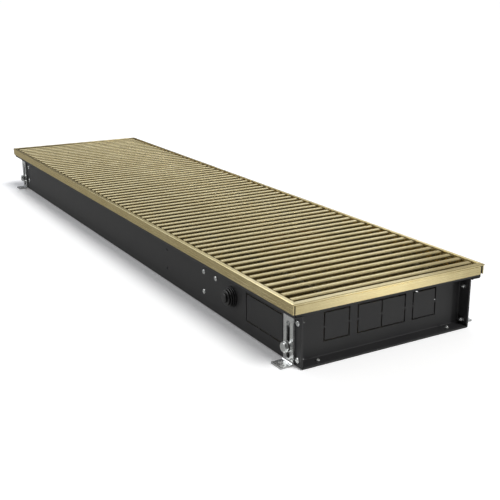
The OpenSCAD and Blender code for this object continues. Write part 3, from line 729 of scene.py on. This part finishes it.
sideRivet = rivetShape(2 * sheets["trough"], rivets["sideTail"])
floorRivet = rivetShape(2 * sheets["trough"], rivets["floorTail"], domed=False)
bracketRivet = rivetShape(sheets["trough"] + sheets["bracket"], rivets["bracketTail"])
joinInto(makeCopies("endPanelRivets", sideRivet, *sideRivets(), replaced=["end_panel_rivets"]),
         makeCopies("floorRivets", floorRivet, *floorRivets()))
makeCopies("bracketRivets", bracketRivet, *bracketRivets(), replaced=["bracket_rivets"])
print("rivets made")


# Rubber cable grommet: a dome of ridges, closed at the tip, to be cut at the ridge that fits the cable

grommet = {
    "ridges": 4,
    "tipShare": 0.5,  # of one more ridge that the dome's curve would need to close
    "grooveDepth": 1.8 * mm,
    "grooveShare": 0.42,
    "lipRadius": 0.8 * mm,
    "flange": 1.9 * mm,
    "flangeRadius": 0.6 * mm,
    "smallRadius": 0.3 * mm,
    "offWall": 0.02 * mm,
    # the neck in the wall and the bead behind it, measured in from the flange's radius
    "neckInset": 2.5 * mm,
    "neckLength": 0.9 * mm,
    "beadInset": 1.2 * mm,
    "beadDepth": 2.5 * mm,
    "cornerSteps": 3,
    "steps": 48,
}


def grommetOutline(radius, length):
    small = grommet["smallRadius"]
    neck = radius - grommet["neckInset"]
    bead = radius - grommet["beadInset"]
    outline = [(0, -grommet["beadDepth"]), (bead, -grommet["beadDepth"], small),
               (bead, -grommet["neckLength"], small), (neck, -grommet["neckLength"]),
               (neck, grommet["offWall"]), (radius, grommet["offWall"], small),
               (radius, grommet["flange"], grommet["flangeRadius"])]
    ridgeHeight = (length - grommet["flange"]) / grommet["ridges"]
    for i in range(grommet["ridges"]):
        base = grommet["flange"] + i * ridgeHeight
        crest = base + grommet["grooveShare"] * ridgeHeight
        ridge = radius * math.sqrt(1 - ((i + 1) / (grommet["ridges"] + grommet["tipShare"])) ** 2)
        groove = ridge - grommet["grooveDepth"]
        outline += [(groove, base), (groove, crest), (ridge, crest, grommet["lipRadius"]),
                    (ridge, base + ridgeHeight, grommet["lipRadius"])]
    outline.append((0, length))
    return outline


def makeGrommet():
    low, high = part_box("cable_grommet")
    outline = grommetOutline((high.z - low.z) / 2, -wallX - low.x)
    profile = roundedOutline(outline, grommet["cornerSteps"])
    cone = turned("cableGrommet", profile, grommet["steps"])
    middle = centreOf("cable_grommet")
    outOfWall = Vector((-1, 0, 0)).to_track_quat("Z", "Y").to_matrix().to_4x4()
    cone.data.transform(Matrix.Translation((-wallX, middle.y, middle.z)) @ outOfWall)
    cone.data.materials.append(finish["black_rubber"])
    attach(cone, "casing")
    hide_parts("cable_grommet")


makeGrommet()
print("grommet made")


# Floor, lights and camera

studio = {
    "floorSize": 60,
    "floorSink": 0.3 * mm,
    "floorSeen": "#fbfbfb",  # what the camera sees, white with the object's shadow
    "floorGlow": 0.13,
    "floorBeside": "#939391",  # what metal reflects of the floor at the left, and in front
    "floorAhead": "#d6d6d4",
    "aheadWay": (-0.3, -0.95, 0),
    "aheadRange": (0.42, 0.62),
    "worldLevel": 0.30,
    # the sky that metal sees: its level low and high, and how high the change is
    "metalSees": (0.18, 0.6),
    "metalSeesFrom": (0.45, 0.8),
    # soft cards that only shiny things see: the way to each, the cosines at its rim and where it is
    # full, and its level
    "cards": [((0, 0, 1), (0.9, 0.96), 1.3), ((0.80, 0.56, 0.22), (0.88, 0.97), 0.45),
              ((-0.51, 0.34, 0.79), (0.79, 0.89), 4)],
    "sunAim": (0.14, -0.50, 0.86),
    "sunStrength": 2.3,
    "sunAngle": 26,
    "backPower": 100,
    "backTint": "#e2ebff",
    "backSize": (8.0, 2.6),
    "backPlace": (0.9, 5.0, 3.34),
    "stripPower": 4.4,
    "stripSize": (0.15, 0.36),
    "stripPlace": (0.90, -1.70, 0.2),
}


def makeFloor():
    bm = bmesh.new()
    bmesh.ops.create_grid(bm, x_segments=1, y_segments=1, size=studio["floorSize"])
    bmesh.ops.translate(bm, verts=bm.verts, vec=(0, 0, -studio["floorSink"]))
    floor = meshObject("floor", bm)
    material, tree = startMaterial("paleFloor")
    rays = addNode(tree, "ShaderNodeLightPath")
    place = addNode(tree, "ShaderNodeTexCoord")
    ahead = addNode(tree, "ShaderNodeVectorMath", {"operation": "DOT_PRODUCT", 1: studio["aheadWay"]},
                    {0: place.outputs["Object"]})
    colour = rampBetween(tree, ahead.outputs["Value"], linear(studio["floorBeside"]),
                         linear(studio["floorAhead"]), *studio["aheadRange"])
    plain = addNode(tree, "ShaderNodeBsdfDiffuse", None, {"Color": colour})
    white = addNode(tree, "ShaderNodeBsdfDiffuse", {"Color": linear(studio["floorSeen"])})
    glow = addNode(tree, "ShaderNodeEmission", {"Strength": studio["floorGlow"]})
    mix = addNode(tree, "ShaderNodeMixShader", None,
                  {"Fac": rays.outputs["Is Glossy Ray"], 1: white.outputs["BSDF"], 2: plain.outputs["BSDF"]})
    bright = addNode(tree, "ShaderNodeAddShader", None,
                     {0: mix.outputs["Shader"], 1: glow.outputs["Emission"]})
    addNode(tree, "ShaderNodeOutputMaterial", None, {"Surface": bright.outputs["Shader"]})
    floor.data.materials.append(material)


# The level of what metal sees of the world, way by way
def metalSees(tree, way):
    rise = addNode(tree, "ShaderNodeSeparateXYZ", None, {"Vector": way}).outputs["Z"]
    start, end = studio["metalSeesFrom"]
    low, high = studio["metalSees"]
    sky = {"From Min": start, "From Max": end, "To Min": low, "To Max": high}
    level = addNode(tree, "ShaderNodeMapRange", sky, {"Value": rise}).outputs["Result"]
    for cardWay, (rim, full), strength in studio["cards"]:
        facing = addNode(tree, "ShaderNodeVectorMath", {"operation": "DOT_PRODUCT", 1: cardWay}, {0: way})
        card = addNode(tree, "ShaderNodeMapRange", {"From Min": rim, "From Max": full, "To Max": strength},
                       {"Value": facing.outputs["Value"]})
        both = addNode(tree, "ShaderNodeMath", {"operation": "ADD"}, {0: level, 1: card.outputs["Result"]})
        level = both.outputs["Value"]
    return level


def makeWorld():
    world = bpy.data.worlds.new("studio")
    world.use_nodes = True
    bpy.context.scene.world = world
    tree = world.node_tree
    tree.nodes.clear()
    rays = addNode(tree, "ShaderNodeLightPath")
    way = addNode(tree, "ShaderNodeTexCoord")
    soft = addNode(tree, "ShaderNodeBackground", {"Color": (1, 1, 1, 1), "Strength": studio["worldLevel"]})
    pale = addNode(tree, "ShaderNodeBackground", {"Color": (1, 1, 1, 1)},
                   {"Strength": metalSees(tree, way.outputs["Generated"])})
    white = addNode(tree, "ShaderNodeBackground", {"Color": (1, 1, 1, 1), "Strength": 1.0})
    inMetal = addNode(tree, "ShaderNodeMixShader", None,
                      {"Fac": rays.outputs["Is Glossy Ray"], 1: soft.outputs["Background"],
                       2: pale.outputs["Background"]})
    seen = addNode(tree, "ShaderNodeMath", {"operation": "MAXIMUM"},
                   {0: rays.outputs["Is Camera Ray"], 1: rays.outputs["Is Transmission Ray"]})
    mix = addNode(tree, "ShaderNodeMixShader", None,
                  {"Fac": seen.outputs["Value"], 1: inMetal.outputs["Shader"],
                   2: white.outputs["Background"]})
    addNode(tree, "ShaderNodeOutputWorld", None, {"Surface": mix.outputs["Shader"]})


def addLight(name, kind, place, settings):
    light = bpy.data.lights.new(name, kind)
    for key, value in settings.items():
        setattr(light, key, value)
    item = bpy.data.objects.new(name, light)
    item.location = place
    item.rotation_mode = "QUATERNION"
    item.rotation_quaternion = (-Vector(place)).to_track_quat("-Z", "Y")
    item.visible_camera = False
    bpy.context.scene.collection.objects.link(item)
    return item


def makeLights():
    # a big overhead box, far enough to light the floor evenly
    overhead = addLight("overheadBox", "SUN", studio["sunAim"],
                        {"energy": studio["sunStrength"], "angle": math.radians(studio["sunAngle"])})
    overhead.visible_glossy = False
    # the wide box behind that the slats and the frame's top reflect
    wide, high = studio["backSize"]
    addLight("backBox", "AREA", studio["backPlace"],
             {"energy": studio["backPower"], "color": linear(studio["backTint"])[:3], "shape": "RECTANGLE",
              "size": wide, "size_y": high})
    # the strip that stands as a bright band in the near end of the frame
    wide, high = studio["stripSize"]
    addLight("stripBox", "AREA", studio["stripPlace"],
             {"energy": studio["stripPower"], "shape": "RECTANGLE", "size": wide, "size_y": high})


shot = {
    "imagePx": 500,
    "focalPx": 844.87,  # from the photo's vanishing lines
    "sensorMm": 36,
    "place": (-0.54239, -1.13532, 0.36058),
    "azimuth": -30.064,
    "elevation": 16.928,
    "roll": -0.181,
}


def makeCamera():
    data = bpy.data.cameras.new("photoCamera")
    data.sensor_width = shot["sensorMm"]
    data.lens = shot["sensorMm"] * shot["focalPx"] / shot["imagePx"]
    camera = bpy.data.objects.new("photoCamera", data)
    bpy.context.scene.collection.objects.link(camera)
    azimuth, elevation = math.radians(shot["azimuth"]), math.radians(shot["elevation"])
    back = Vector((math.sin(azimuth) * math.cos(elevation), -math.cos(azimuth) * math.cos(elevation),
                   math.sin(elevation)))
    camera.location = shot["place"]
    camera.rotation_mode = "QUATERNION"
    turn = Quaternion((0, 0, 1), math.radians(shot["roll"]))
    camera.rotation_quaternion = (-back).to_track_quat("-Z", "Y") @ turn
    bpy.context.scene.camera = camera


makeFloor()
makeWorld()
makeLights()
makeCamera()
bpy.context.scene.view_settings.view_transform = "Standard"
print("studio ready")
